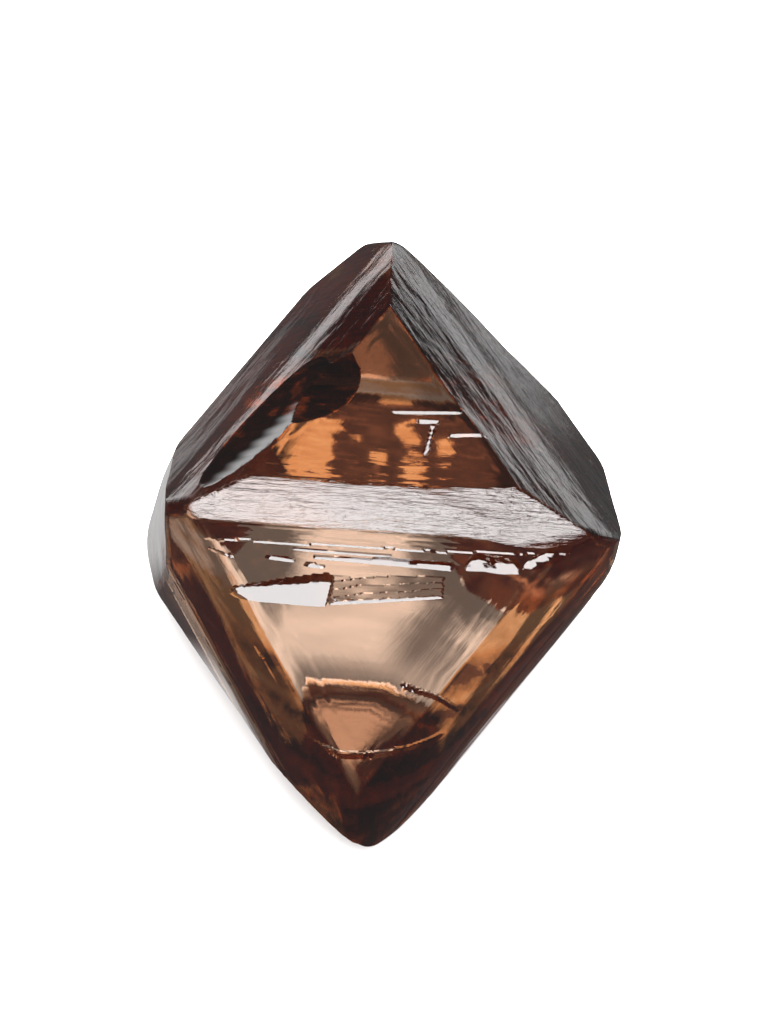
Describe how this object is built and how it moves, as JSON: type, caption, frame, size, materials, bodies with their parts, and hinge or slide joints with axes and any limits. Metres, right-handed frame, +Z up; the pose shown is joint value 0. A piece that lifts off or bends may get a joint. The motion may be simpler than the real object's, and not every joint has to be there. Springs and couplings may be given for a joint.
{
  "type": "diamond crystal",
  "caption": "Natural brown diamond octahedron with stepped flat faces and rounded edge bands, lying on one of its faces.",
  "frame": {"origin": "middle of the crystal's bounding box, on the surface that the crystal lies on", "axes": "+Z up, square to the resting face; -Y is the side that the front edge band faces; +X to the right of it"},
  "size_m": [0.0078, 0.0084, 0.0069],
  "materials": {
    "brown_diamond": "clear brown, glossy"
  },
  "bodies": {
    "root": {"diamond_crystal": "brown_diamond"}
  },
  "joints": []
}
